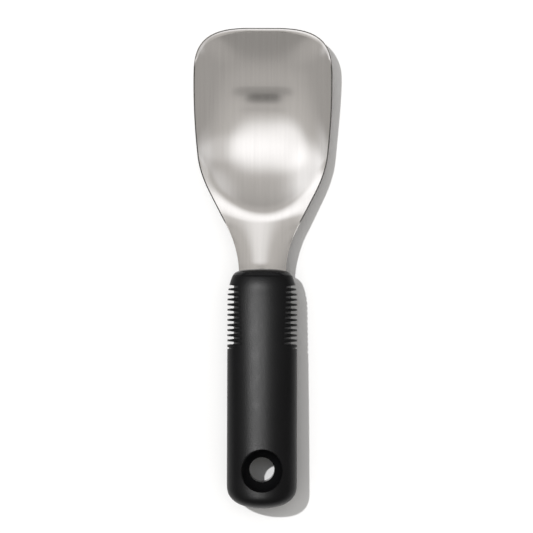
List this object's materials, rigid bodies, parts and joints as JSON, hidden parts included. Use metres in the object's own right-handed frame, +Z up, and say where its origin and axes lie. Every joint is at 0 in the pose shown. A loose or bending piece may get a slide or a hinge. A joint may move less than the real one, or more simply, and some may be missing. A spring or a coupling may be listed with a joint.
{
  "type": "ice cream spade",
  "caption": "Hand-held ice cream spade: a dished steel blade with a ridged neck, set in a soft finned grip with a hanging hole.",
  "frame": {"origin": "on the table under the middle of the spade's bounding box, as it lies on its back with the dish up", "axes": "+Y from the handle towards the digging edge, +Z up out of the dish, +X to the right seen from above"},
  "size_m": [0.0664, 0.2294, 0.0242],
  "materials": {
    "brushed_steel": "satin stainless steel brushed along the blade",
    "black_plastic": "hard glossy black moulding",
    "grey_nylon": "as-moulded dark grey nylon, hidden inside the grip",
    "pin_steel": "plain turned steel, hidden inside the grip",
    "black_rubber": "satin black soft moulded rubber"
  },
  "bodies": {
    "root": {"spade_head": "brushed_steel", "neck_collar": "black_plastic", "core_front": "grey_nylon", "core_back": "grey_nylon", "front_tang_pin": "pin_steel", "rear_tang_pin": "pin_steel", "hang_eyelet": "black_plastic", "soft_grip": "black_rubber"}
  },
  "joints": []
}
